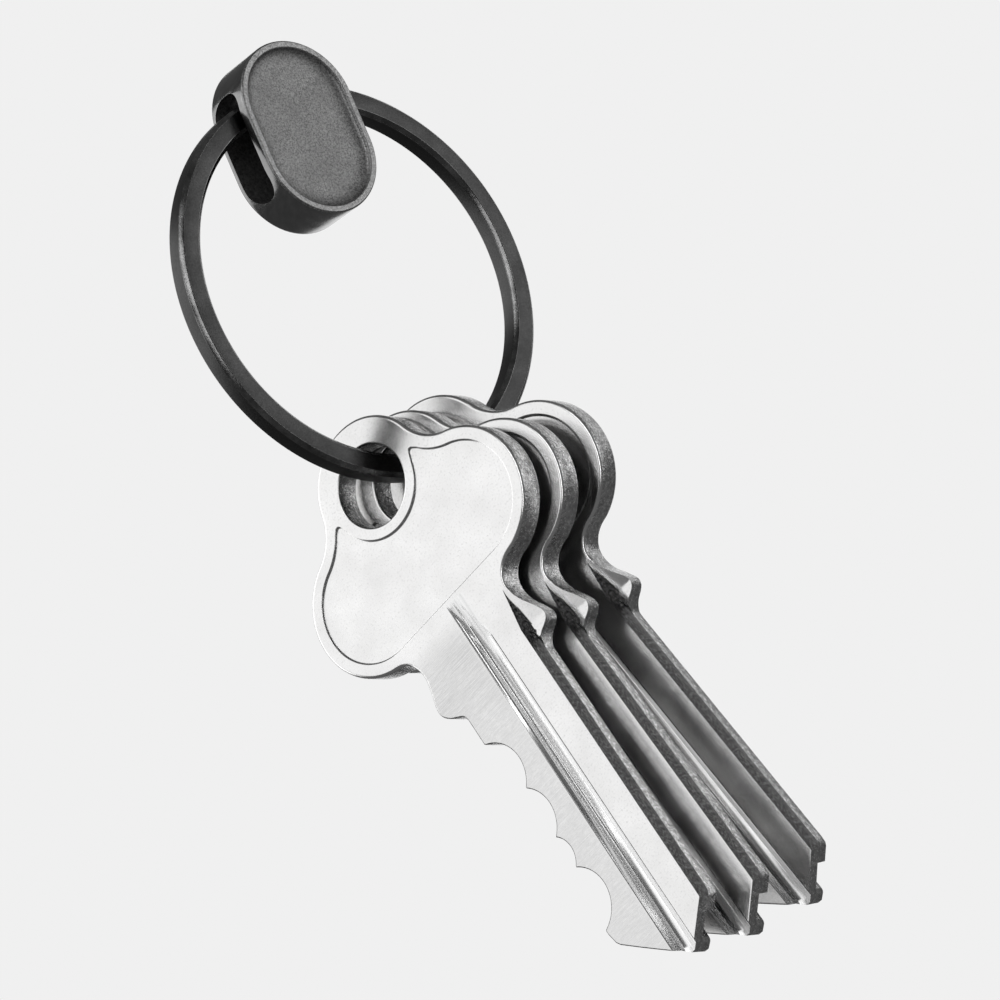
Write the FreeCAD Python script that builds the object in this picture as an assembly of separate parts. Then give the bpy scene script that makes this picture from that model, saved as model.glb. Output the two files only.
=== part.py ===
import FreeCAD, Part
import math
import os
from FreeCAD import Placement, Rotation, Vector

# Locking split key ring with three house keys, in millimetres and degrees.
# Origin: centre of the ring.  +X to the right, +Y to the back, +Z up.
# The spring ring and its capsule are drawn flat (ring axis along z, front face up, capsule
# at the top) and then swung and leaned into place.  Each key is drawn flat as well: hole at
# the origin, blade along +y, bitting towards +x, front face at z = 0.

os.makedirs("parts", exist_ok=True)

# --- spring ring: a chamfered square bar, bent once round ---
RING_OUTER_R = 17.0
RING_BAR = 2.0
RING_CHAMFER = 0.3
RING_MID_R = RING_OUTER_R - RING_BAR / 2
RING_SWING = 6.0
RING_LEAN = 22.0
ANCHORED_TIP_X = 0.6
FREE_TIP_X = -1.1
FLEX_ANGLE = 0.0
FLEX_RUN_GAP = 0.03
FLEX_TIP_GAP = 0.5

# --- capsule: stadium block with a dished front and a long side slot ---
CAPSULE_CENTRE_Y = 12.9
CAPSULE_HALF_RUN = 2.13
CAPSULE_R = 5.45
CAPSULE_FRONT_Z = 2.4
CAPSULE_BACK_Z = -2.65
CAPSULE_BACK_FILLET = 0.5
CAPSULE_FRONT_CHAMFER = 0.12
RIM_WIDTH = 0.6
DISH_DEPTH = 0.45
DISH_FILLET = 0.4
SLOT_LOW_Y = 8.3
SLOT_HIGH_Y = 17.65
SLOT_BACK_Z = -1.95
SLOT_FRONT_Z = 1.55
SLOT_CORNER_R = 1.5
SLOT_END_X = 1.5
SOCKET_GAP = 0.02

# --- cross pins in the capsule ---
PIN_R = 0.6
PIN_CHAMFER = 0.1
ANCHOR_PIN_X = 3.4
ANCHOR_PIN_TOP_Z = 1.3
LATCH_PIN_X = -3.0
LATCH_PIN_LIFT = 0.45
LATCH_PIN_TOP_Z = 1.75
LATCH_NOTCH_R = 0.75

# --- key blank ---
KEY_THICK = 2.25
HOLE_R = 3.35
BOSS_R = 4.35
TOP_LOBE_R = 5.66
SIDE_LOBE_R = 6.05
SIDE_LOBE_X = 5.95
SIDE_LOBE_Y = 7.06
WAIST_R = 4.53
PANEL_INSET = 1.15
PANEL_DEPTH = 0.2
PANEL_TOP_Y = 0.35
NECK_HALF = 5.3
NECK_TOP_Y = 13.4
NECK_LOW_Y = 15.0
SHOULDER_HALF = 6.2
SHOULDER_Y = 18.2
SHOULDER_STOP_Y = 20.0

# --- key blade ---
SPINE_X = -4.35
SPINE_REBATE_X = -4.0
SPINE_REBATE_DEPTH = 1.1
SPINE_REBATE_START_Y = 15.2
BITTING_X = 4.3
TIP_SPINE_Y = 44.2
TIP_POINT_X = -0.9
TIP_POINT_Y = 47.2
TIP_BITTING_Y = 42.5
FRONT_GROOVE_LOW_X = -1.6
FRONT_GROOVE_HIGH_X = 0.4
FRONT_GROOVE_LIP = 0.15
FRONT_GROOVE_DEPTH = 1.05
FRONT_GROOVE_START_Y = 12.8
BACK_GROOVE_LOW_X = -3.25
BACK_GROOVE_HIGH_X = -1.75
BACK_GROOVE_DEPTH = 1.2
BACK_GROOVE_START_Y = 16.5
# one round cutter per bitting: distance down the key, root height, cutter radius
BITTING_CUTS = [(25.9, 2.35, 3.0), (30.4, 2.3, 3.0), (34.25, 2.85, 2.0), (38.2, 2.15, 3.0)]

# --- keys on the ring: hole centre, turn about the vertical, tip lean and fan angle ---
KEY_YAW = -72.5
KEY_PITCH_STEP = 2.66
KEYS = {
    "key_front": {"along": 0.0, "across": 0.0, "drop": 0.0, "lean": 0.0, "fan": 0.0},
    "key_middle": {"along": 1.0, "across": 1.5, "drop": -0.6, "lean": 1.5, "fan": 1.2},
    "key_rear": {"along": 2.2, "across": 3.1, "drop": -0.1, "lean": 5.0, "fan": 2.3},
}
KEY_HOLE = Vector(-5.4, 6.1, -15.8)

EPS = 0.01


def ring_place():
    """Flat ring frame to the object's frame."""
    lean = Placement(Vector(), Rotation(Vector(1, 0, 0), 90 + RING_LEAN))
    swing = Placement(Vector(), Rotation(Vector(0, 0, 1), RING_SWING))
    return lean * swing


def placed(shape, placement):
    result = shape.copy()
    result.Placement = placement * result.Placement
    return result


def polygon_face(points):
    return Part.Face(Part.makePolygon([Vector(*p) for p in points + points[:1]]))


def ring_arc(start, end, grow=0.0):
    """Chamfered bar swept round the ring from start to end, in degrees from +x."""
    low = RING_OUTER_R - RING_BAR - grow
    high = RING_OUTER_R + grow
    half = RING_BAR / 2 + grow
    cut = RING_CHAMFER
    section = polygon_face([
        (low + cut, 0, -half), (high - cut, 0, -half), (high, 0, -half + cut), (high, 0, half - cut),
        (high - cut, 0, half), (low + cut, 0, half), (low, 0, half - cut), (low, 0, -half + cut),
    ])
    section.rotate(Vector(), Vector(0, 0, 1), start)
    return section.revolve(Vector(), Vector(0, 0, 1), end - start)


def angle_at_x(x):
    """Angle of the point of the ring's centre line that has this x, on the upper half."""
    return math.degrees(math.acos(x / RING_MID_R))


def height_at_x(radius, x):
    return math.sqrt(radius ** 2 - x ** 2)


def flex_centre():
    angle = math.radians(FLEX_ANGLE)
    return Vector(RING_MID_R * math.cos(angle), RING_MID_R * math.sin(angle), 0)


def z_cylinder(centre, radius, low_z, high_z):
    return Part.makeCylinder(radius, high_z - low_z, Vector(centre.x, centre.y, low_z))


def latch_pin_centre():
    return Vector(LATCH_PIN_X, height_at_x(RING_OUTER_R, LATCH_PIN_X) + LATCH_PIN_LIFT, 0)


def anchor_pin_centre():
    return Vector(ANCHOR_PIN_X, height_at_x(RING_MID_R, ANCHOR_PIN_X), 0)


def make_anchored_arm():
    """Quarter of the spring ring from the capsule's socket down to the flexing point."""
    arm = ring_arc(FLEX_ANGLE, angle_at_x(ANCHORED_TIP_X))
    centre = flex_centre()
    half = RING_BAR / 2
    knuckle = z_cylinder(centre, half + FLEX_RUN_GAP, -half - 1, half + 1)
    block = Part.makeBox(2 * RING_BAR, 2 * RING_BAR, 2 * RING_BAR)
    block.translate(centre + Vector(-RING_BAR, FLEX_TIP_GAP - 2 * RING_BAR, -RING_BAR))
    pin_hole = z_cylinder(anchor_pin_centre(), PIN_R, -half - 1, half + 1)
    return arm.cut(knuckle).cut(block).cut(pin_hole)


def make_free_arm():
    """The rest of the spring ring, from the flexing point round to the latched tip."""
    arm = ring_arc(angle_at_x(FREE_TIP_X) - 360, FLEX_ANGLE)
    half = RING_BAR / 2
    knuckle = z_cylinder(flex_centre(), half, -half, half)
    rims = [e for e in knuckle.Edges if isinstance(e.Curve, Part.Circle)]
    knuckle = knuckle.makeChamfer(RING_CHAMFER, rims)
    notch = z_cylinder(latch_pin_centre(), LATCH_NOTCH_R, -half - 1, half + 1)
    return arm.fuse(knuckle).removeSplitter().cut(notch)


def stadium(half_run, radius, low_z, high_z):
    """Upright stadium prism centred on the capsule."""
    top = CAPSULE_CENTRE_Y + half_run
    low = CAPSULE_CENTRE_Y - half_run
    edges = [
        Part.LineSegment(Vector(radius, low, low_z), Vector(radius, top, low_z)).toShape(),
        Part.Arc(Vector(radius, top, low_z), Vector(0, top + radius, low_z),
                 Vector(-radius, top, low_z)).toShape(),
        Part.LineSegment(Vector(-radius, top, low_z), Vector(-radius, low, low_z)).toShape(),
        Part.Arc(Vector(-radius, low, low_z), Vector(0, low - radius, low_z),
                 Vector(radius, low, low_z)).toShape(),
    ]
    return Part.Face(Part.Wire(edges)).extrude(Vector(0, 0, high_z - low_z))


def edges_at_z(shape, z):
    return [e for e in shape.Edges if all(abs(v.Z - z) < EPS for v in e.Vertexes)]


def side_slot():
    """Rounded slot cut in from the capsule's left side; the ring's free tip swings in it."""
    depth = SLOT_FRONT_Z - SLOT_BACK_Z
    height = SLOT_HIGH_Y - SLOT_LOW_Y
    start_x = -CAPSULE_R - 2
    box = Part.makeBox(SLOT_END_X - start_x, height, depth, Vector(start_x, SLOT_LOW_Y, SLOT_BACK_Z))
    long_edges = [e for e in box.Edges if abs(e.tangentAt(e.FirstParameter).x) > 1 - EPS]
    return box.makeFillet(SLOT_CORNER_R, long_edges)


def make_capsule():
    body = stadium(CAPSULE_HALF_RUN, CAPSULE_R, CAPSULE_BACK_Z, CAPSULE_FRONT_Z)
    body = body.makeFillet(CAPSULE_BACK_FILLET, edges_at_z(body, CAPSULE_BACK_Z))
    body = body.makeChamfer(CAPSULE_FRONT_CHAMFER, edges_at_z(body, CAPSULE_FRONT_Z))
    floor_z = CAPSULE_FRONT_Z - DISH_DEPTH
    dish = stadium(CAPSULE_HALF_RUN, CAPSULE_R - RIM_WIDTH, floor_z, CAPSULE_FRONT_Z + 1)
    dish = dish.makeFillet(DISH_FILLET, edges_at_z(dish, floor_z))
    socket = ring_arc(FLEX_ANGLE + 45, angle_at_x(ANCHORED_TIP_X), SOCKET_GAP)
    body = body.cut(dish).cut(side_slot()).cut(socket)
    for pin in (make_anchor_pin(), make_latch_pin()):
        body = body.cut(pin)
    return body


def make_pin(centre, top_z):
    pin = z_cylinder(centre, PIN_R, CAPSULE_BACK_Z, top_z)
    rims = [e for e in pin.Edges if isinstance(e.Curve, Part.Circle)]
    return pin.makeChamfer(PIN_CHAMFER, rims)


def make_anchor_pin():
    return make_pin(anchor_pin_centre(), ANCHOR_PIN_TOP_Z)


def make_latch_pin():
    return make_pin(latch_pin_centre(), LATCH_PIN_TOP_Z)


def waist_centre():
    """Centre of the round waist between the top lobe and the right lobe of a key's bow."""
    top_reach = TOP_LOBE_R + WAIST_R
    side_reach = SIDE_LOBE_R + WAIST_R
    span = math.hypot(SIDE_LOBE_X, SIDE_LOBE_Y)
    along = (top_reach ** 2 - side_reach ** 2 + span ** 2) / (2 * span)
    away = math.sqrt(top_reach ** 2 - along ** 2)
    ux, uy = SIDE_LOBE_X / span, SIDE_LOBE_Y / span
    return Vector(along * ux + away * uy, along * uy - away * ux, 0)


def point_towards(start, end, distance):
    return start + (end - start).normalize() * distance


def bow_face(inset, z=0.0):
    """Trilobe outline of the bow, pulled in by inset and closed with a straight lower edge."""
    top_r = TOP_LOBE_R - inset
    side_r = SIDE_LOBE_R - inset
    waist_r = WAIST_R + inset
    edges = []
    for side in (1, -1):
        def mirror(p):
            return Vector(side * p.x, p.y, z)
        waist = waist_centre()
        lobe = Vector(SIDE_LOBE_X, SIDE_LOBE_Y, 0)
        crown = Vector(0, -top_r, 0)
        crown_end = point_towards(Vector(), waist, top_r)
        crown_mid = point_towards(Vector(), crown + crown_end, top_r)
        waist_end = point_towards(waist, lobe, waist_r)
        waist_mid = point_towards(waist, (crown_end + waist_end) * 0.5, waist_r)
        lobe_mid = lobe + Vector(side_r, 0, 0)
        lobe_end = lobe + Vector(0, side_r, 0)
        edges.append(Part.Arc(mirror(crown), mirror(crown_mid), mirror(crown_end)).toShape())
        edges.append(Part.Arc(mirror(crown_end), mirror(waist_mid), mirror(waist_end)).toShape())
        edges.append(Part.Arc(mirror(waist_end), mirror(lobe_mid), mirror(lobe_end)).toShape())
    low = SIDE_LOBE_Y + side_r
    left, right = Vector(-SIDE_LOBE_X, low, z), Vector(SIDE_LOBE_X, low, z)
    edges.append(Part.LineSegment(left, right).toShape())
    return Part.Face(Part.Wire(Part.__sortEdges__(edges)))


def key_outline():
    """Bow, neck, shoulder stops and blade, as one prism of full thickness."""
    bow = bow_face(0.0, -KEY_THICK).extrude(Vector(0, 0, KEY_THICK))
    blade = polygon_face([(x, y, -KEY_THICK) for x, y in (
        (-NECK_HALF, NECK_TOP_Y - 2), (NECK_HALF, NECK_TOP_Y - 2), (NECK_HALF, NECK_LOW_Y),
        (SHOULDER_HALF, SHOULDER_Y), (BITTING_X, SHOULDER_STOP_Y), (BITTING_X, TIP_BITTING_Y),
        (TIP_POINT_X, TIP_POINT_Y), (SPINE_X, TIP_SPINE_Y), (SPINE_X, SHOULDER_STOP_Y),
        (-SHOULDER_HALF, SHOULDER_Y), (-NECK_HALF, NECK_LOW_Y))])
    return bow.fuse(blade.extrude(Vector(0, 0, KEY_THICK))).removeSplitter()


def panel_cutter(low_z):
    """Shallow recess of the bow's panel, round the hole's boss."""
    face = bow_face(PANEL_INSET, low_z)
    panel = face.extrude(Vector(0, 0, PANEL_DEPTH))
    panel = panel.cut(z_cylinder(Vector(), BOSS_R, low_z - 1, low_z + 1))
    above = Part.makeBox(40, 20, 4, Vector(-20, PANEL_TOP_Y - 20, low_z - 1))
    return panel.cut(above)


def blade_cutters():
    """Everything that is milled along the blade, as prisms that run out past the tip."""
    end_y = TIP_POINT_Y + 1
    rebate = Part.makeBox(SPINE_REBATE_X - SPINE_X + 0.1, end_y - SPINE_REBATE_START_Y,
                          SPINE_REBATE_DEPTH + 1, Vector(SPINE_X - 0.1, SPINE_REBATE_START_Y, -SPINE_REBATE_DEPTH))
    front = polygon_face([(x, FRONT_GROOVE_START_Y, z) for x, z in (
        (FRONT_GROOVE_LOW_X, 1), (FRONT_GROOVE_LOW_X, -FRONT_GROOVE_LIP),
        (FRONT_GROOVE_HIGH_X, -FRONT_GROOVE_DEPTH), (FRONT_GROOVE_HIGH_X, 1))])
    front = front.extrude(Vector(0, end_y - FRONT_GROOVE_START_Y, 0))
    back = Part.makeBox(BACK_GROOVE_HIGH_X - BACK_GROOVE_LOW_X, end_y - BACK_GROOVE_START_Y,
                        BACK_GROOVE_DEPTH + 1,
                        Vector(BACK_GROOVE_LOW_X, BACK_GROOVE_START_Y, -KEY_THICK - 1))
    cuts = [Part.makeCylinder(radius, KEY_THICK + 2, Vector(root + radius, y, -KEY_THICK - 1))
            for y, root, radius in BITTING_CUTS]
    return [rebate, front, back] + cuts


def make_key():
    key = key_outline()
    key = key.cut(z_cylinder(Vector(), HOLE_R, -KEY_THICK - 1, 1))
    for cutter in [panel_cutter(-PANEL_DEPTH), panel_cutter(-KEY_THICK)] + blade_cutters():
        key = key.cut(cutter)
    return key


def key_place(seat):
    """Where a key hangs: its front face's hole centre, its turn and its small lean and fan."""
    turn = Rotation(Vector(0, 0, 1), KEY_YAW)
    upright = Rotation(Vector(-1, 0, 0), Vector(0, 0, -1), Vector(0, -1, 0), "ZXY")
    small = Rotation(Vector(1, 0, 0), -seat["lean"]) * Rotation(Vector(0, 0, 1), seat["fan"])
    rotation = turn * upright * small
    across = turn.multVec(Vector(1, 0, 0))
    back = turn.multVec(Vector(0, 1, 0))
    hole = KEY_HOLE + back * (seat["along"] * KEY_PITCH_STEP) + across * seat["across"]
    return Placement(hole + Vector(0, 0, seat["drop"]), rotation)


def make_nodes():
    in_ring = ring_place()
    nodes = {
        "capsule_housing": placed(make_capsule(), in_ring),
        "anchor_pin": placed(make_anchor_pin(), in_ring),
        "latch_pin": placed(make_latch_pin(), in_ring),
        "ring_anchored_arm": placed(make_anchored_arm(), in_ring),
        "ring_free_arm": placed(make_free_arm(), in_ring),
    }
    key = make_key()
    for name, seat in KEYS.items():
        nodes[name] = placed(key, key_place(seat))
    return nodes


def main():
    for name, shape in make_nodes().items():
        shape.exportStep("parts/" + name + ".step")
        box = shape.BoundBox
        print("%-18s solids %d valid %s volume %8.1f mm3  x %6.2f %6.2f  y %6.2f %6.2f  z %6.2f %6.2f" % (
            name, len(shape.Solids), shape.isValid(), shape.Volume,
            box.XMin, box.XMax, box.YMin, box.YMax, box.ZMin, box.ZMax))


main()
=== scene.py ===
import math
import bmesh
import bpy
import numpy as np
from mathutils import Matrix, Vector
from mathutils.geometry import delaunay_2d_cdt


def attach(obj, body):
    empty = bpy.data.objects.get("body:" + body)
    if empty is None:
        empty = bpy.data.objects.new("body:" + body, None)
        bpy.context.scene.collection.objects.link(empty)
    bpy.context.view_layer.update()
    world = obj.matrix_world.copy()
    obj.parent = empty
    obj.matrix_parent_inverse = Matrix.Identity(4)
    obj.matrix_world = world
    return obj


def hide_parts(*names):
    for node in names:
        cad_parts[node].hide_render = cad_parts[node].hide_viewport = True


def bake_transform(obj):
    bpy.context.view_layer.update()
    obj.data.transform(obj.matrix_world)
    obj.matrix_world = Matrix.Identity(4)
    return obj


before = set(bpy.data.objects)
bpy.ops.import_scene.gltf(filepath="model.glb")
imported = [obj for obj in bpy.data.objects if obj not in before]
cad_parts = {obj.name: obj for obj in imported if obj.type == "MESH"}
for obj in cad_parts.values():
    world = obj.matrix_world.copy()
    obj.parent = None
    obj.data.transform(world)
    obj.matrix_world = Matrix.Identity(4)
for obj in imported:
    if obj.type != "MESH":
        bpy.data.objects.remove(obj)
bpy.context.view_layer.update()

# Lock key ring with three house keys.  Shapes are drawn in millimetres in the ring's own flat
# frame or a key's own flat frame, and then set in metres in the row frame.
MM = 0.001


# ------------------------------------------------------------------ placing and mesh helpers
def turn(angle, axis):
    return Matrix.Rotation(math.radians(angle), 4, axis)


RING_PLACE = turn(112.0, "X") @ turn(6.0, "Z")
KEY_HOLE = Vector((-5.4, 6.1, -15.8))
KEY_YAW = -72.5
KEY_PITCH = 2.66
# along the ring in key pitches, across and down in mm, lean and fan in degrees
KEY_SEATS = {
    "key_front": (0.0, 0.0, 0.0, 0.0, 0.0),
    "key_middle": (1.0, 1.5, -0.6, 1.5, 1.2),
    "key_rear": (2.2, 3.1, -0.1, 5.0, 2.3),
}


def key_place(along, across, drop, lean, fan):
    """A key's own frame: hole at the origin, blade along +y, bitting to +x, front face at z = 0."""
    yaw = turn(KEY_YAW, "Z")
    upright = Matrix(((-1, 0, 0, 0), (0, 0, -1, 0), (0, -1, 0, 0), (0, 0, 0, 1)))
    small = turn(-lean, "X") @ turn(fan, "Z")
    hole = KEY_HOLE + yaw @ Vector((across, along * KEY_PITCH, 0)) + Vector((0, 0, drop))
    return Matrix.Translation(hole * MM) @ yaw @ upright @ small


def mesh_object(name, verts, faces, place, materials, face_material=None, sharp=35.0):
    """Mesh from points in mm in a piece's own frame, with crisp edges above the sharp angle."""
    mesh = bpy.data.meshes.new(name)
    mesh.from_pydata([tuple(c * MM for c in v) for v in verts], [], faces)
    finish_mesh(mesh, materials, face_material, sharp)
    obj = bpy.data.objects.new(name, mesh)
    bpy.context.scene.collection.objects.link(obj)
    obj.matrix_world = place
    return obj


def finish_mesh(mesh, materials, face_material, sharp):
    for material in materials:
        mesh.materials.append(material)
    if face_material is not None:
        mesh.polygons.foreach_set("material_index", face_material)
    mesh.polygons.foreach_set("use_smooth", [True] * len(mesh.polygons))
    mesh.set_sharp_from_angle(angle=math.radians(sharp))
    mesh.update()
    mesh.validate()


# ------------------------------------------------------------------ material helpers
class Nodes:
    """Small shorthand for building a material's node tree."""

    def __init__(self, name):
        self.material = bpy.data.materials.new(name)
        self.material.use_nodes = True
        self.tree = self.material.node_tree
        self.shader = self.tree.nodes["Principled BSDF"]
        self.coord = self.add("ShaderNodeTexCoord").outputs["Object"]

    def add(self, kind, **settings):
        node = self.tree.nodes.new(kind)
        for key, value in settings.items():
            setattr(node, key, value)
        return node

    def link(self, a, b):
        self.tree.links.new(a, b)

    def scaled(self, scale):
        node = self.add("ShaderNodeMapping")
        node.inputs["Scale"].default_value = scale
        self.link(self.coord, node.inputs["Vector"])
        return node.outputs["Vector"]

    def noise(self, scale, detail=3.0, rough=0.55, stretch=(1, 1, 1)):
        node = self.add("ShaderNodeTexNoise")
        node.inputs["Scale"].default_value = scale
        node.inputs["Detail"].default_value = detail
        node.inputs["Roughness"].default_value = rough
        self.link(self.scaled(stretch), node.inputs["Vector"])
        return node.outputs["Fac"]

    def ramp(self, value, low, high, out_low, out_high):
        node = self.add("ShaderNodeMapRange")
        node.inputs["From Min"].default_value = low
        node.inputs["From Max"].default_value = high
        node.inputs["To Min"].default_value = out_low
        node.inputs["To Max"].default_value = out_high
        self.link(value, node.inputs["Value"])
        return node.outputs["Result"]

    def math(self, operation, a, b):
        node = self.add("ShaderNodeMath", operation=operation)
        for socket, value in zip(node.inputs, (a, b)):
            if isinstance(value, (int, float)):
                socket.default_value = value
            else:
                self.link(value, socket)
        return node.outputs[0]

    def mix(self, fac, a, b):
        node = self.add("ShaderNodeMix", data_type="RGBA")
        for socket, value in ((node.inputs["Factor"], fac), (node.inputs["A"], a), (node.inputs["B"], b)):
            if isinstance(value, (int, float)):
                socket.default_value = value
            elif isinstance(value, tuple):
                socket.default_value = value + (1.0,)
            else:
                self.link(value, socket)
        return node.outputs["Result"]

    def bump(self, height, strength, distance, normal=None):
        node = self.add("ShaderNodeBump")
        node.inputs["Strength"].default_value = strength
        node.inputs["Distance"].default_value = distance
        self.link(height, node.inputs["Height"])
        if normal is not None:
            self.link(normal, node.inputs["Normal"])
        return node.outputs["Normal"]

    def shade(self, colour, roughness, normal=None, metallic=1.0):
        self.shader.inputs["Metallic"].default_value = metallic
        for key, value in (("Base Color", colour), ("Roughness", roughness)):
            if isinstance(value, (int, float)):
                self.shader.inputs[key].default_value = value
            elif isinstance(value, tuple):
                self.shader.inputs[key].default_value = value + (1.0,)
            else:
                self.link(value, self.shader.inputs[key])
        if normal is not None:
            self.link(normal, self.shader.inputs["Normal"])
        return self.material


def grey(v, warm=0.0):
    return (v * (1 + warm), v, v * (1 - warm))


def make_ring_steel():
    n = Nodes("ring_matte_steel")
    grain = n.noise(9000, 2.0, 0.7)
    cloud = n.noise(300, 4.0, 0.6)
    tone = n.mix(n.ramp(grain, 0.35, 0.7, 0.0, 1.0), grey(0.044), grey(0.074))
    tone = n.mix(n.ramp(cloud, 0.35, 0.7, 0.0, 0.3), tone, grey(0.034))
    rough = n.ramp(cloud, 0.3, 0.7, 0.30, 0.38)
    return n.shade(tone, rough, n.bump(grain, 0.25, 0.00003))


def make_ring_edge():
    n = Nodes("ring_burnished_edge")
    grain = n.noise(7000, 2.0, 0.7)
    worn = n.noise(420, 4.0, 0.65)
    tone = n.mix(n.ramp(worn, 0.35, 0.68, 0.0, 1.0), grey(0.10), grey(0.30))
    tone = n.mix(n.ramp(grain, 0.4, 0.7, 0.0, 0.5), tone, grey(0.08))
    return n.shade(tone, n.ramp(worn, 0.3, 0.7, 0.20, 0.30), n.bump(grain, 0.25, 0.00003))


def make_blasted_steel():
    n = Nodes("capsule_blasted_steel")
    grain = n.noise(7000, 3.0, 0.75)
    cloud = n.noise(500, 3.0, 0.5)
    tone = n.mix(n.ramp(grain, 0.38, 0.64, 0.0, 1.0), grey(0.17), grey(0.60))
    tone = n.mix(n.ramp(cloud, 0.35, 0.7, 0.0, 0.3), tone, grey(0.16))
    return n.shade(tone, n.ramp(grain, 0.3, 0.7, 0.42, 0.56), n.bump(grain, 0.45, 0.00005))


def make_polished_steel():
    n = Nodes("capsule_polished_steel")
    grain = n.noise(9000, 2.0, 0.7)
    smear = n.noise(700, 3.0, 0.6, (1, 1, 4))
    tone = n.mix(n.ramp(smear, 0.3, 0.7, 0.0, 1.0), grey(0.19), grey(0.25))
    return n.shade(tone, n.ramp(smear, 0.3, 0.7, 0.17, 0.24), n.bump(grain, 0.06, 0.00003))


def make_rim_edge():
    n = Nodes("capsule_rim_edge")
    grain = n.noise(6000, 3.0, 0.7)
    tone = n.mix(n.ramp(grain, 0.38, 0.66, 0.0, 1.0), grey(0.20), grey(0.46))
    return n.shade(tone, 0.40, n.bump(grain, 0.35, 0.00004))


def make_slot_steel():
    n = Nodes("capsule_slot_steel")
    grain = n.noise(4000, 3.0, 0.7)
    tone = n.mix(n.ramp(grain, 0.35, 0.7, 0.0, 1.0), grey(0.16), grey(0.42))
    return n.shade(tone, 0.5, n.bump(grain, 0.4, 0.00005))


def make_pin_steel():
    n = Nodes("pin_ground_steel")
    grain = n.noise(6000, 2.0, 0.6)
    tone = n.mix(n.ramp(grain, 0.35, 0.7, 0.0, 1.0), grey(0.26), grey(0.36))
    return n.shade(tone, n.ramp(grain, 0.3, 0.7, 0.25, 0.36), n.bump(grain, 0.15, 0.00003))


def make_key_face():
    n = Nodes("key_nickel_face")
    cloud = n.noise(260, 4.0, 0.55)
    speck = n.noise(5200, 2.0, 0.6)
    lines = n.noise(1100, 2.0, 0.6, (0.25, 24.0, 1.0))
    place = n.add("ShaderNodeSeparateXYZ")
    n.link(n.coord, place.inputs[0])
    on_blade = n.ramp(place.outputs["Y"], 13.2 * MM, 15.5 * MM, 0.0, 1.0)
    faded = n.ramp(place.outputs["Y"], 18.5 * MM, 23.5 * MM, 1.0, 0.45)
    cut_side = n.ramp(place.outputs["X"], 0.3 * MM, 0.6 * MM, 0.15, 1.0)
    cut_side_blade = n.math("MULTIPLY", on_blade, cut_side)
    milled = n.math("MULTIPLY", cut_side_blade, faded)
    cut_grain = n.noise(3200, 3.0, 0.65, (0.5, 1.6, 1.0))
    tone = n.mix(n.ramp(cloud, 0.3, 0.72, 0.0, 1.0), grey(0.74, 0.004), grey(0.86, 0.002))
    tone = n.mix(n.ramp(speck, 0.55, 0.72, 0.0, 0.5), tone, grey(0.58))
    dulled = n.math("MULTIPLY", n.ramp(cut_grain, 0.3, 0.7, 0.25, 0.75), cut_side_blade)
    tone = n.mix(dulled, tone, grey(0.60))
    tone = n.mix(n.math("MULTIPLY", n.ramp(lines, 0.40, 0.62, 0.0, 0.55), milled), tone, grey(0.45))
    height = n.math("ADD", n.math("MULTIPLY", lines, n.math("MULTIPLY", milled, 0.45)),
                    n.math("MULTIPLY", cloud, 0.6))
    normal = n.bump(height, 0.10, 0.0001)
    normal = n.bump(speck, 0.05, 0.00003, normal)
    return n.shade(tone, n.ramp(cloud, 0.3, 0.7, 0.16, 0.26), normal)


def make_key_edge():
    n = Nodes("key_nickel_edge")
    grain = n.noise(4200, 4.0, 0.7, (1, 0.6, 0.7))
    fine = n.noise(9000, 2.0, 0.7)
    tone = n.mix(n.ramp(grain, 0.35, 0.68, 0.0, 1.0), grey(0.36), grey(0.88))
    tone = n.mix(n.ramp(fine, 0.5, 0.7, 0.0, 0.6), tone, grey(0.20))
    normal = n.bump(grain, 0.6, 0.0001)
    normal = n.bump(fine, 0.3, 0.00004, normal)
    return n.shade(tone, n.ramp(grain, 0.3, 0.7, 0.16, 0.30), normal)


def make_key_groove():
    n = Nodes("key_nickel_groove")
    lines = n.noise(1100, 2.0, 0.5, (4.0, 0.08, 1.0))
    speck = n.noise(5200, 2.0, 0.6)
    tone = n.mix(n.ramp(lines, 0.35, 0.65, 0.0, 1.0), grey(0.70), grey(0.86))
    tone = n.mix(n.ramp(speck, 0.60, 0.72, 0.0, 0.4), tone, grey(0.5))
    return n.shade(tone, 0.24, n.bump(lines, 0.05, 0.00005))


# Near-black grainy nickel used as painted shade: milled grain with painted shade on the spine rebate's wall,
# a painted shadow line in the groove's crease, and a painted dark line along the bitting edge.
def make_key_painted_shade():
    n = Nodes("key_nickel_painted_shade")
    grain = n.noise(6500, 4.0, 0.75, (1, 0.6, 1))
    tone = n.mix(n.ramp(grain, 0.46, 0.68, 0.0, 1.0), grey(0.03), grey(0.36))
    return n.shade(tone, 0.30, n.bump(grain, 0.8, 0.0001))


RING_STEEL = make_ring_steel()
RING_EDGE = make_ring_edge()
BLASTED = make_blasted_steel()
POLISHED = make_polished_steel()
SLOT_STEEL = make_slot_steel()
RIM_EDGE = make_rim_edge()
PIN_STEEL = make_pin_steel()
KEY_FACE = make_key_face()
KEY_EDGE = make_key_edge()
KEY_GROOVE = make_key_groove()
KEY_PAINTED_SHADE = make_key_painted_shade()


# ------------------------------------------------------------------ spring ring
RING_OUTER_R = 17.0
RING_BAR = 2.0
RING_MID_R = RING_OUTER_R - RING_BAR / 2
RING_CHAMFER = 0.3
RING_SOFTNESS = 0.05
NOTCH_REACH = 1.2


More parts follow.
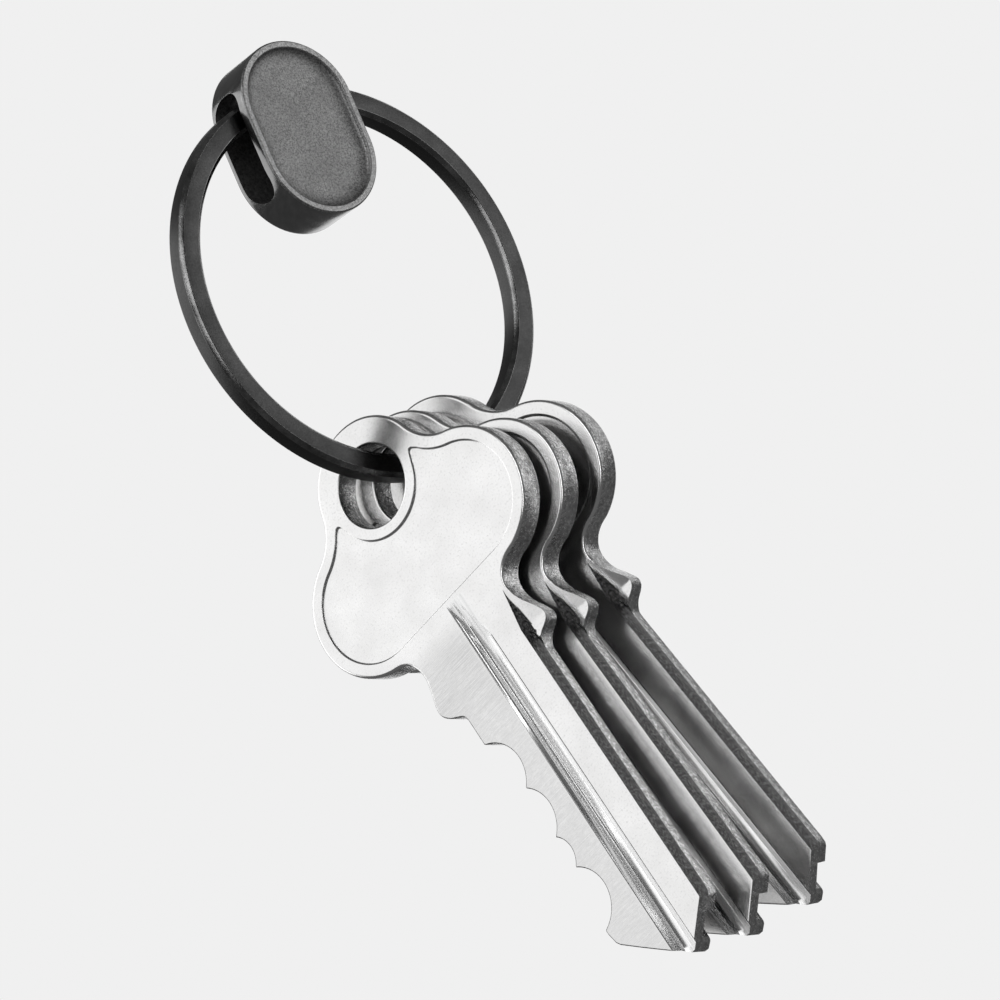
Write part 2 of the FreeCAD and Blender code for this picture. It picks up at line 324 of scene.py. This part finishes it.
def ring_section():
    """Chamfered square bar with slightly rounded chamfer edges: (radius, height) pairs."""
    half, cut, soft = RING_BAR / 2, RING_CHAMFER, RING_SOFTNESS
    corners = [(half, -half + cut), (half, half - cut), (half - cut, half), (-half + cut, half),
               (-half, half - cut), (-half, -half + cut), (-half + cut, -half), (half - cut, -half)]
    points = []
    count = len(corners)
    for i, corner in enumerate(corners):
        here = Vector(corner)
        before = (Vector(corners[i - 1]) - here).normalized()
        after = (Vector(corners[(i + 1) % count]) - here).normalized()
        for k in range(4):
            t = k / 3
            a, b = here + before * soft, here + after * soft
            points.append((a.lerp(here, t)).lerp(here.lerp(b, t), t))
    return [(RING_MID_R + p.x, p.y) for p in points]


def sweep_ring(name, start, end, step, place, notch=None):
    """The bar swept between two angles, closed at both ends, with a round notch (x, y, radius) in it."""
    section = ring_section()
    count = max(2, int(abs(end - start) / step))
    verts, faces = [], []
    for i in range(count + 1):
        a = math.radians(start + (end - start) * i / count)
        for r, z in section:
            x, y = r * math.cos(a), r * math.sin(a)
            if notch is not None:
                away = Vector((x - notch[0], y - notch[1]))
                if away.length < notch[2] and r > RING_OUTER_R - NOTCH_REACH:
                    x, y = Vector(notch[:2]) + away.normalized() * notch[2]
            verts.append((x, y, z))
    n = len(section)
    for i in range(count):
        for k in range(n):
            a, b = i * n + k, i * n + (k + 1) % n
            faces.append((a, b, b + n, a + n))
    faces.append(tuple(range(n)))
    faces.append(tuple(reversed(range(count * n, count * n + n))))
    if end < start:
        faces = [tuple(reversed(f)) for f in faces]
    # strips 3, 11, 19 and 27 of the 32 are the four wide sides; the rest are chamfers and their edges
    slots = [0 if k % 8 == 3 else 1 for _ in range(count) for k in range(n)] + [0, 0]
    placed = [place @ Vector(v) for v in verts]
    return mesh_object(name, [tuple(v) for v in placed], faces, Matrix.Identity(4),
                       [RING_STEEL, RING_EDGE], slots, 50.0)


JOIN_ANGLE = -102.0
LATCH_X, LATCH_LIFT, NOTCH_R = -3.0, 0.45, 0.75
LATCH = (LATCH_X, math.sqrt(RING_OUTER_R ** 2 - LATCH_X ** 2) + LATCH_LIFT, NOTCH_R)
ring_right = sweep_ring("spring_ring_right_side", 87.8, JOIN_ANGLE, 1.0, RING_PLACE)
ring_left = sweep_ring("spring_ring_left_side", JOIN_ANGLE, -266.0, 0.5, RING_PLACE, LATCH)


# ------------------------------------------------------------------ capsule housing
CAP_Y, CAP_RUN, CAP_R = 12.9, 2.13, 5.45
CAP_BACK, CAP_BACK_FILLET = -2.65, 0.5
SLOT_LOW, SLOT_HIGH, SLOT_CORNER = (-9, 8.3, -1.95), (1.5, 17.65, 1.55), 1.5
PIN_R = 0.6
PIN_HOLE_TOP = -1.2
ANCHOR_X = 3.4
ANCHOR_Y = math.sqrt(RING_MID_R ** 2 - ANCHOR_X ** 2)


def stadium_loop(inset, z, count=40):
    """Points round the capsule's outline pulled in by inset, count steps on each round end."""
    radius = CAP_R - inset
    loop = []
    for side in (1, -1):
        for i in range(count + 1):
            a = math.pi * i / count
            loop.append((side * radius * math.cos(a), CAP_Y + side * (CAP_RUN + radius * math.sin(a)), z))
        if side == 1:
            for k in range(1, 8):
                loop.append((-radius, CAP_Y + CAP_RUN * (1 - k / 4), z))
        else:
            for k in range(1, 8):
                loop.append((radius, CAP_Y - CAP_RUN * (1 - k / 4), z))
    return loop


def capsule_profile():
    """(inset, z, material) from the middle of the back, round the side, to the dish's floor."""
    rows = [(3.0, CAP_BACK, 1), (0.52, CAP_BACK, 1)]
    for a in range(0, 91, 15):
        t = math.radians(a)
        rows.append((CAP_BACK_FILLET * (1 - math.sin(t)), CAP_BACK + CAP_BACK_FILLET * (1 - math.cos(t)), 1))
    rows += [(0.0, -0.6, 1), (0.0, 0.8, 1), (0.0, 2.24, 1)]
    rows += [(0.015, 2.31, 3), (0.06, 2.375, 3), (0.12, 2.4, 3), (0.15, 2.4, 3), (0.50, 2.4, 3)]
    rows += [(0.55, 2.395, 3)]
    rows += [(0.60, 2.36, 0), (0.635, 2.30, 0)]
    for a in range(0, 91, 10):
        t = math.radians(a)
        rows.append((0.66 + 1.5 * (1 - math.cos(t)), 2.24 - 0.42 * math.sin(t), 0))
    rows += [(2.7, 1.815, 0), (4.0, 1.81, 0)]
    return rows


def make_capsule():
    rows = capsule_profile()
    verts, faces, slots = [], [], []
    for inset, z, _ in rows:
        verts += stadium_loop(inset, z)
    n = len(verts) // len(rows)
    for i in range(len(rows) - 1):
        for k in range(n):
            a, b = i * n + k, i * n + (k + 1) % n
            faces.append((a, b, b + n, a + n))
            slots.append(rows[i + 1][2])
    faces.append(tuple(reversed(range(n))))
    slots.append(1)
    faces.append(tuple(range(len(verts) - n, len(verts))))
    slots.append(0)
    return mesh_object("capsule_body", verts, faces, RING_PLACE,
                       [BLASTED, POLISHED, SLOT_STEEL, RIM_EDGE], slots, 50.0)


def rounded_box(low, high, radius, steps=12):
    """Box along x with its four long edges rounded."""
    ring = []
    for cy, cz, start in ((high[1] - radius, high[2] - radius, 0), (low[1] + radius, high[2] - radius, 90),
                          (low[1] + radius, low[2] + radius, 180), (high[1] - radius, low[2] + radius, 270)):
        for i in range(steps + 1):
            a = math.radians(start + 90 * i / steps)
            ring.append((cy + radius * math.cos(a), cz + radius * math.sin(a)))
    n = len(ring)
    verts = [(low[0], y, z) for y, z in ring] + [(high[0], y, z) for y, z in ring]
    faces = [(i, (i + 1) % n, n + (i + 1) % n, n + i) for i in range(n)]
    faces += [tuple(reversed(range(n))), tuple(range(n, 2 * n))]
    return verts, faces


def round_bar(cx, cy, radius, low, high, steps=40):
    """Closed cylinder along z."""
    ring = [(cx + radius * math.cos(2 * math.pi * i / steps), cy + radius * math.sin(2 * math.pi * i / steps))
            for i in range(steps)]
    verts = [(x, y, low) for x, y in ring] + [(x, y, high) for x, y in ring]
    faces = [(i, (i + 1) % steps, steps + (i + 1) % steps, steps + i) for i in range(steps)]
    faces += [tuple(reversed(range(steps))), tuple(range(steps, 2 * steps))]
    return verts, faces


def cut_away(obj, cutters, material):
    """Cuts closed shapes out of obj; the new walls take the cutters' material."""
    for verts, faces in cutters:
        tool = mesh_object("cutter", verts, faces, obj.matrix_world.copy(), [material])
        mod = obj.modifiers.new("cut", "BOOLEAN")
        mod.operation, mod.solver, mod.object, mod.material_mode = "DIFFERENCE", "EXACT", tool, "TRANSFER"
        bpy.context.view_layer.update()
        deps = bpy.context.evaluated_depsgraph_get()
        mesh = bpy.data.meshes.new_from_object(obj.evaluated_get(deps))
        obj.modifiers.clear()
        obj.data = mesh
        bpy.data.objects.remove(tool)


def outline_distance(x, y):
    """Distance outside the capsule's outline; negative inside."""
    y = abs(y - CAP_Y)
    return math.hypot(x, max(0.0, y - CAP_RUN)) - CAP_R


def soften_slot_rim(obj, width):
    """Rounds the edge where the slot breaks out through the capsule's side."""
    bm = bmesh.new()
    bm.from_mesh(obj.data)
    bmesh.ops.remove_doubles(bm, verts=bm.verts, dist=2e-7)
    rim = []
    for edge in bm.edges:
        mid = (edge.verts[0].co + edge.verts[1].co) / 2 / MM
        on_side = all(abs(outline_distance(v.co.x / MM, v.co.y / MM)) < 0.03 for v in edge.verts)
        in_slot = SLOT_LOW[2] - 0.02 < mid.z < SLOT_HIGH[2] + 0.02 and mid.x < 0
        if on_side and in_slot and len(edge.link_faces) == 2:
            if edge.calc_face_angle(0.0) > math.radians(25):
                rim.append(edge)
    bmesh.ops.bevel(bm, geom=rim, offset=width * MM, segments=4, profile=0.5, affect="EDGES",
                    clamp_overlap=True, material=1)
    bm.to_mesh(obj.data)
    bm.free()
    obj.data.polygons.foreach_set("use_smooth", [True] * len(obj.data.polygons))
    obj.data.set_sharp_from_angle(angle=math.radians(50))


capsule = make_capsule()
cut_away(capsule, [rounded_box(SLOT_LOW, SLOT_HIGH, SLOT_CORNER),
                   round_bar(ANCHOR_X, ANCHOR_Y, PIN_R, -3, PIN_HOLE_TOP),
                   round_bar(LATCH[0], LATCH[1], PIN_R, -3, PIN_HOLE_TOP)], SLOT_STEEL)
soften_slot_rim(capsule, 0.14)
capsule.data.transform(capsule.matrix_world)
capsule.matrix_world = Matrix.Identity(4)


# ------------------------------------------------------------------ house key
KEY_THICK = 2.25
HOLE_R, BOSS_R = 3.35, 4.35
TOP_R, LOBE_R, WAIST_R = 5.66, 6.05, 4.53
LOBE = (5.95, 7.06)
WAIST = (9.799, -2.794)
# bitting cuts: distance down the key, root height, cutter radius
CUTS = [(25.9, 2.35, 3.0), (30.4, 2.3, 3.0), (34.25, 2.85, 2.0), (38.2, 2.15, 3.0)]
BITTING_EDGE_X = 4.3
PANEL_DEPTH = 0.2
HOLE_SOFTNESS = 0.15
# the front groove runs out towards the bow and its spine side closes in
GROOVE_START_Y, GROOVE_WIDE_Y, GROOVE_DEEP_Y = 12.6, 16.8, 19.9
GROOVE_LOW_X, GROOVE_TURN_X = -1.6, -0.3
GROOVE_CLOSING = 0.9
GROOVE_SPINE_EDGE = (-1.66, -1.62, -1.58)
REBATE_X = -4.0
REBATE_START_Y, REBATE_RUN = 14.9, 3.6
REBATE_SLANT = 0.62
BACK_GROOVE_START_Y = 16.5
# straight lines that the mesh of the blade follows: x, from y, to y
BLADE_LINES = (
    [(x, GROOVE_WIDE_Y, 48) for x in GROOVE_SPINE_EDGE + (-1.47,)]
    + [(x, 12.4, 48) for x in (-0.25, 0.37, 0.41, 0.47, 0.52)]
    + [(x, 18.5, 46) for x in (-4.0, -4.04, -3.95)]
    + [(x, 16.4, 46) for x in (-3.34, -3.29, -3.25, -3.22)]
    + [(x, 16.4, 47) for x in (-1.78, -1.74, -1.35, -1.0)])


def arc(centre, radius, start, end, step=0.2):
    count = max(2, int(abs(math.radians(end - start)) * radius / step))
    return [(centre[0] + radius * math.cos(math.radians(start + (end - start) * i / count)),
             centre[1] + radius * math.sin(math.radians(start + (end - start) * i / count)))
            for i in range(count + 1)]


def spline(points, per_span=5):
    """Smooth curve through the points."""
    out = []
    p = [Vector(q) for q in points]
    p = [p[0] * 2 - p[1]] + p + [p[-1] * 2 - p[-2]]
    for i in range(1, len(p) - 2):
        for k in range(per_span):
            t = k / per_span
            a, b, c, d = p[i - 1], p[i], p[i + 1], p[i + 2]
            out.append(tuple(0.5 * (2 * b + (c - a) * t + (2 * a - 5 * b + 4 * c - d) * t * t
                                    + (3 * b - a - 3 * c + d) * t ** 3)))
    return out + [tuple(p[-2])]


def mirrored(points):
    """The points on the other side of the key, in reverse order."""
    return [(-x, y) for x, y in reversed(points)]


def bow_side(inset, lobe_end):
    """Right-hand edge of the bow from the crown to the lobe's lower side."""
    top = arc((0, 0), TOP_R - inset, -90, -15.91)
    waist = arc(WAIST, WAIST_R + inset, 164.09, 111.34)
    lobe = arc(LOBE, LOBE_R - inset, -68.66, lobe_end)
    return top + waist[1:-1] + lobe


def bitting_x(y):
    x = BITTING_EDGE_X
    for centre, root, radius in CUTS:
        if abs(y - centre) < radius:
            x = min(x, root + radius - math.sqrt(radius ** 2 - (y - centre) ** 2))
    return x


def key_outline():
    right = bow_side(0.0, 75)
    right += spline([(7.516, 12.90), (6.75, 13.12), (6.1, 13.6), (5.68, 14.4), (5.56, 15.4), (5.85, 16.7),
                     (6.17, 17.9), (6.12, 18.7), (5.6, 19.35), (4.95, 19.75), (4.45, 20.1), (4.3, 20.6)])[1:]
    right += [(bitting_x(y), y) for y in np.arange(20.9, 41.6, 0.14)]
    right += [(4.22, 41.9), (4.12, 42.4), (3.9, 42.75), (2.5, 44.1), (1.0, 45.5), (0.0, 46.4), (-0.6, 46.95)]
    left = spline([(7.516, 12.90), (6.6, 13.1), (5.85, 13.5), (5.25, 14.2), (5.05, 15.2), (5.25, 16.3),
                   (5.8, 17.4), (6.17, 18.3), (6.05, 18.85), (5.65, 19.2), (5.1, 19.5), (4.7, 19.85),
                   (4.4, 20.3), (4.35, 20.8)])[1:]
    left = bow_side(0.0, 75) + left + [(4.35, y) for y in np.arange(21.3, 43.9, 0.6)]
    left += [(4.3, 44.05), (4.15, 44.3), (3.4, 44.95), (2.4, 45.85), (1.5, 46.65), (1.0, 47.0)]
    loop = right + mirrored(left)
    return tidy_loop(loop)


def tidy_loop(loop):
    """The closed loop without points that are nearly on top of each other."""
    out = [loop[0]]
    for p in loop[1:]:
        if math.hypot(p[0] - out[-1][0], p[1] - out[-1][1]) > 0.02:
            out.append(p)
    if math.hypot(out[0][0] - out[-1][0], out[0][1] - out[-1][1]) < 0.02:
        out.pop()
    return out


def panel_outline():
    """Recessed panel of the bow, with a rounded horn at each side of the hole's boss."""
    right = [(5.0, 11.96)] + arc(LOBE, LOBE_R - 1.15, 90, -68.66)
    right += arc(WAIST, WAIST_R + 1.15, 111.34, 143.0)[1:]
    right += [(5.02, 0.42), (4.88, 0.28), (4.66, 0.26), (4.48, 0.42), (4.36, 0.72)]
    right += arc((0, 0), BOSS_R, 13.0, 90)[1:]
    return tidy_loop(right + mirrored(right)[1:])


def anticlockwise(loop):
    area = sum(a[0] * b[1] - b[0] * a[1] for a, b in zip(loop, loop[1:] + loop[:1]))
    return loop if area > 0 else loop[::-1]


def offset_loop(loop, distance):
    """The closed loop moved sideways; positive is to the left of its direction."""
    p = np.array(loop)
    d = np.roll(p, -1, 0) - p
    d /= np.linalg.norm(d, axis=1)[:, None]
    normal = np.stack([-d[:, 1], d[:, 0]], 1)
    both = normal + np.roll(normal, 1, 0)
    both /= np.maximum(np.einsum("ij,ij->i", both, normal)[:, None], 0.35)
    return p + both * distance


def distance_to(points, loop):
    """Distance of each point to the closed loop."""
    a = np.array(loop)
    ab = np.roll(a, -1, 0) - a
    length = np.einsum("ij,ij->i", ab, ab)
    best = np.full(len(points), 1e9)
    for i in range(0, len(points), 2000):
        ap = points[i:i + 2000, None, :] - a[None]
        t = np.clip(np.einsum("nij,ij->ni", ap, ab) / length, 0, 1)
        gap = ap - t[..., None] * ab
        best[i:i + 2000] = np.sqrt(np.einsum("nij,nij->ni", gap, gap)).min(1)
    return best


def inside(points, loop):
    """Which of the points lie inside the closed loop."""
    a = np.array(loop)
    b = np.roll(a, -1, 0)
    result = np.zeros(len(points), bool)
    for i in range(0, len(points), 2000):
        x, y = points[i:i + 2000, 0, None], points[i:i + 2000, 1, None]
        crosses = (a[:, 1] > y) != (b[:, 1] > y)
        with np.errstate(divide="ignore", invalid="ignore"):
            at = a[:, 0] + (y - a[:, 1]) / (b[:, 1] - a[:, 1]) * (b[:, 0] - a[:, 0])
        result[i:i + 2000] = (np.sum(crosses & (x < at), axis=1) % 2) == 1
    return result


def rounding(d, radius):
    """Height below the face at distance d from a rounded edge."""
    d = np.clip(d, 0, radius)
    return -radius + np.sqrt(np.maximum(radius ** 2 - (radius - d) ** 2, 0))


def step_down(s, depth):
    """Panel wall: s is the distance into the panel."""
    return np.interp(s, [-0.07, -0.03, 0.0, 0.03, 0.06, 0.14], [0, -0.07 * depth, -0.25 * depth, -0.8 * depth,
                                                                -0.95 * depth, -depth])


def front_relief(x, y):
    """Milled front groove and spine rebate; zero or below."""
    run_out = 1 - np.clip((GROOVE_DEEP_Y - y) / (GROOVE_DEEP_Y - GROOVE_START_Y), 0, 1) ** 2
    closed = GROOVE_CLOSING * np.clip((GROOVE_WIDE_Y - y) / (GROOVE_WIDE_Y - GROOVE_START_Y), 0, 1)
    narrowing = 1 - closed / (GROOVE_TURN_X - GROOVE_LOW_X)
    across = np.where(x < GROOVE_TURN_X, GROOVE_TURN_X + (x - GROOVE_TURN_X) / narrowing, x)
    floor = np.interp(across, [-1.66, -1.62, -1.58, -0.25, 0.37, 0.41, 0.47, 0.5],
                      [0, 0.08, 0.24, 0.52, 1.05, 0.06, 0.0, -0.01])
    groove = np.where((across > -1.66) & (x < 0.5), np.minimum(0, -floor * run_out), 0.0)
    reach = np.clip((y - REBATE_START_Y) / REBATE_RUN, 0, 1)
    rebate_depth = 1.1 * reach ** 1.3
    edge = REBATE_X - REBATE_SLANT * (1 - reach)
    into = np.clip((edge - x) / 0.04, 0, 1)
    rebate = -rebate_depth * into
    shoulder = np.clip((-4.35 - x) / 0.25, 0, 1) * np.clip((20.2 - y) / 0.5, 0, 1)
    rebate = rebate * (1 - shoulder) + shoulder * into * (-0.62 * reach - 0.12 * np.clip(-5.2 - x, 0, 1))
    return np.minimum(groove, np.where(y > REBATE_START_Y, rebate, 0.0))


def back_relief(x, y):
    """Milled back groove; zero or below."""
    start = np.clip((y - BACK_GROOVE_START_Y) / 3.0, 0, 1)
    groove = np.interp(x, [-3.29, -3.25, -3.22, -1.78, -1.74, -1.6, -1.35, -1.0],
                       [0, 0.08, 1.2, 1.2, 0.32, 0.12, 0.02, 0.0])
    return -groove * (1 - (1 - start) ** 2)


def key_guides(outline, hole, panel):
    """Points and edges that the flat mesh of a key has to follow."""
    loops = [np.array(outline)] + [offset_loop(outline, d) for d in (0.03, 0.08, 0.16, 0.28, 0.33)]
    loops += [np.array(hole)] + [offset_loop(hole, -d) for d in (0.03, 0.08, 0.15, 0.2)]
    loops += [offset_loop(panel, d) for d in (-0.11, -0.07, -0.03, 0.0, 0.03, 0.06, 0.14, 0.19)]
    verts, edges = [], []

    def follow(points, closed=False):
        base, count = len(verts), len(points)
        verts.extend(Vector(p) for p in points)
        edges.extend((base + i, base + (i + 1) % count) for i in range(count if closed else count - 1))

    for loop in loops:
        follow(loop, closed=True)
    for x in GROOVE_SPINE_EDGE:
        narrowing = 1 - GROOVE_CLOSING / (GROOVE_TURN_X - GROOVE_LOW_X)
        start_x = GROOVE_TURN_X + (x - GROOVE_TURN_X) * narrowing
        follow([(start_x, GROOVE_START_Y), (x, GROOVE_WIDE_Y)])
    for x, low, high in BLADE_LINES:
        follow([(x, low), (x, high)])
    for shift in (-0.05, 0.0, 0.04, 0.09):
        follow([(REBATE_X - REBATE_SLANT * (1 - t) - shift, REBATE_START_Y + REBATE_RUN * t)
                for t in np.linspace(0, 1, 15)])
    for y in np.arange(12.45, 20.1, 0.15):
        verts.extend(Vector((x, y)) for x in np.linspace(-1.5, 0.3, 10))
        if y > REBATE_START_Y:
            verts.extend(Vector((x, y)) for x in np.linspace(-6.0, -4.7, 8))
    return verts, edges


def flat_triangles(outline, hole, panel):
    """The key's face as points and triangles, all anticlockwise seen from the front."""
    verts, edges = key_guides(outline, hole, panel)
    flat, _, faces, _, _, _ = delaunay_2d_cdt(verts, edges, [], 0, 1e-5)
    p = np.array([tuple(v) for v in flat])
    tri = np.array([f for f in faces if len(f) == 3])
    middle = p[tri].mean(1)
    keep = inside(middle, outline) & ~inside(middle, hole)
    tri = tri[keep]
    used = np.unique(tri)
    index = np.full(len(p), -1)
    index[used] = np.arange(len(used))
    p, tri = p[used], index[tri]
    a, b, c = p[tri[:, 0]], p[tri[:, 1]], p[tri[:, 2]]
    cross = (b[:, 0] - a[:, 0]) * (c[:, 1] - a[:, 1]) - (b[:, 1] - a[:, 1]) * (c[:, 0] - a[:, 0])
    tri[cross < 0] = tri[cross < 0][:, ::-1]
    return p, tri


def make_key_mesh():
    outline = anticlockwise(key_outline())
    hole = arc((0, 0), HOLE_R, 0, 360)[:-1]
    panel = anticlockwise(panel_outline())
    p, tri = flat_triangles(outline, hole, panel)
    x, y = p[:, 0], p[:, 1]
    soft = np.interp(y, [13.0, 20.5], [0.28, 0.06])
    edge = distance_to(p, outline)
    rounded = rounding(edge / soft, 1.0) * soft
    hole_edge = distance_to(p, hole) / HOLE_SOFTNESS
    rounded = np.minimum(rounded, rounding(hole_edge, 1.0) * HOLE_SOFTNESS)
    into = distance_to(p, panel) * np.where(inside(p, panel), 1, -1)
    base = np.minimum(rounded, step_down(into, PANEL_DEPTH))
    zf = np.minimum(base, front_relief(x, y))
    zb = -KEY_THICK - np.minimum(base, back_relief(x, y))
    zb = np.minimum(zb, zf - 0.3)
    count = len(p)
    verts = np.concatenate([np.column_stack([p, zf]), np.column_stack([p, zb])])
    faces = [tuple(t) for t in tri] + [(t[2] + count, t[1] + count, t[0] + count) for t in tri]
    sides = dict.fromkeys((t[i], t[(i + 1) % 3]) for t in tri for i in range(3))
    walls = [(j, i, i + count, j + count) for i, j in sides if (j, i) not in sides]
    slots = face_slots(verts, tri, count, outline) + [1] * len(walls)
    return verts, faces + walls, slots


def face_slots(verts, tri, count, outline):
    """0 face, 1 grainy edge, 2 milled groove, 3 painted shade (rebate wall, groove crease, bitting edge
    line); front triangles and then back ones.
    """
    slots = []
    for shift in (0, count):
        a, b, c = verts[tri[:, 0] + shift], verts[tri[:, 1] + shift], verts[tri[:, 2] + shift]
        normal = np.cross(b - a, c - a)
        upright = np.abs(normal[:, 2]) / np.maximum(np.linalg.norm(normal, axis=1), 1e-12)
        x, y, z = ((a + b + c) / 3).T
        steep = upright < 0.55
        slot = np.where(steep, 1, 0)
        if shift == 0:
            slot = np.where((x > -1.64) & (x < 0.43) & (y > 12.4), 2, slot)
            # rebate wall: milled grain darkened to near black as painted shade of the recess
            slot = np.where(steep & (x < -3.97) & (x > -4.6) & (y > 15.0) & (z > -1.12), 3, slot)
            # painted shadow line along the crease at the groove's spine side
            crease = (x > -1.66) & (x < -1.47) & (y > GROOVE_WIDE_Y) & (y < 47.5)
            slot = np.where(crease & (z > -0.6), 3, slot)
        # painted dark line on the rounded bitting edge, in place of what it reflects
        near_edge = distance_to(np.column_stack([x, y]), outline) < 0.10
        slot = np.where((x > 0.6) & (y > 13.5) & near_edge, 3, slot)
        slots += list(slot)
    return [int(s) for s in slots]


key_verts, key_faces, key_slots = make_key_mesh()
keys = {}
for body, seat in KEY_SEATS.items():
    keys[body] = mesh_object("house_" + body, key_verts, key_faces, key_place(*seat),
                             [KEY_FACE, KEY_EDGE, KEY_GROOVE, KEY_PAINTED_SHADE], key_slots, 38.0)


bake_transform(ring_right)
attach(ring_left, "free_arm")
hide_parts("ring_anchored_arm", "ring_free_arm")
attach(capsule, "holder")
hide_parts("capsule_housing")
for body, piece in keys.items():
    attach(piece, body)
    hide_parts(body)
for name in ("anchor_pin", "latch_pin"):
    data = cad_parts[name].data
    if data.materials:
        data.materials[0] = PIN_STEEL
    else:
        data.materials.append(PIN_STEEL)


# ------------------------------------------------------------------ camera, floor and light
CAMERA_PLACE = (-0.19019, -0.19199, -0.15508)
CAMERA_RIGHT = Vector((0.76123, -0.40627, -0.50545))
CAMERA_UP = Vector((0.14533, -0.65272, 0.74353))
CAMERA_AHEAD = Vector((0.63199, 0.63945, 0.43782))
CAMERA_LENS = 138.37
FLOOR_Z = -0.24
LIGHT_TARGET = Vector((0, 0, -0.02))
BACKGROUND = (0.871, 0.871, 0.871, 1)
AMBIENT = (0.12, 0.12, 0.12, 1)

camera = bpy.data.objects.new("camera", bpy.data.cameras.new("camera"))
bpy.context.scene.collection.objects.link(camera)
camera_up = CAMERA_UP - CAMERA_UP.dot(CAMERA_RIGHT) * CAMERA_RIGHT
camera.matrix_world = Matrix.Translation(CAMERA_PLACE) @ Matrix(
    (CAMERA_RIGHT.normalized(), camera_up.normalized(), -CAMERA_AHEAD.normalized())).transposed().to_4x4()
camera.data.sensor_width = 36
camera.data.lens = CAMERA_LENS
camera.data.clip_start = 0.01
bpy.context.scene.camera = camera


def make_floor():
    n = Nodes("floor_pale")
    cloud = n.noise(3.0, 2.0, 0.5)
    tone = n.mix(n.ramp(cloud, 0.3, 0.7, 0.0, 1.0), grey(0.86), grey(0.88))
    return n.shade(tone, 0.8, metallic=0.0)


bm = bmesh.new()
bmesh.ops.create_grid(bm, x_segments=1, y_segments=1, size=6)
floor_mesh = bpy.data.meshes.new("floor")
bm.to_mesh(floor_mesh)
bm.free()
floor = bpy.data.objects.new("floor", floor_mesh)
floor.location = (0, 0, FLOOR_Z)
floor.data.materials.append(make_floor())
bpy.context.scene.collection.objects.link(floor)
floor.visible_glossy = False


def area_light(name, direction, distance, width, height, radiance):
    """Soft rectangular light that looks at the object and glows with the given radiance."""
    data = bpy.data.lights.new(name, "AREA")
    data.shape, data.size, data.size_y = "RECTANGLE", width, height
    data.energy = radiance * width * height * math.pi
    obj = bpy.data.objects.new(name, data)
    bpy.context.scene.collection.objects.link(obj)
    d = Vector(direction).normalized()
    obj.location = LIGHT_TARGET + d * distance
    obj.rotation_euler = d.to_track_quat("Z", "Y").to_euler()
    obj.visible_camera = False


area_light("left_softbox", (-0.89, 0.06, 0.45), 0.8, 0.75, 0.75, 0.98)
area_light("front_left_strip", (-0.74, -0.67, 0.08), 0.8, 0.16, 0.95, 3.4)
area_light("right_front_softbox", (0.64, -0.76, -0.10), 0.9, 0.45, 0.4, 2.1)
area_light("left_back_softbox", (-0.46, 0.72, 0.50), 0.9, 0.75, 0.85, 1.35)
area_light("backdrop_glow", (0.63, 0.65, 0.42), 0.9, 0.75, 0.65, 1.05)
area_light("right_softbox", (0.93, -0.10, 0.42), 0.9, 0.4, 0.5, 0.75)

# pale backdrop for the camera and the floor; the metal reflects the dimmer ambient light
world = bpy.data.worlds.new("studio")
world.use_nodes = True
bpy.context.scene.world = world
tree = world.node_tree
tree.nodes.clear()
seen = tree.nodes.new("ShaderNodeBackground")
seen.inputs["Color"].default_value = BACKGROUND
lit = tree.nodes.new("ShaderNodeBackground")
lit.inputs["Color"].default_value = AMBIENT
path = tree.nodes.new("ShaderNodeLightPath")
pick = tree.nodes.new("ShaderNodeMixShader")
out = tree.nodes.new("ShaderNodeOutputWorld")
bright = tree.nodes.new("ShaderNodeMath")
bright.operation = "MAXIMUM"
tree.links.new(path.outputs["Is Camera Ray"], bright.inputs[0])
tree.links.new(path.outputs["Is Diffuse Ray"], bright.inputs[1])
tree.links.new(bright.outputs[0], pick.inputs["Fac"])
tree.links.new(lit.outputs[0], pick.inputs[1])
tree.links.new(seen.outputs[0], pick.inputs[2])
tree.links.new(pick.outputs[0], out.inputs["Surface"])
bpy.context.scene.view_settings.view_transform = "Standard"
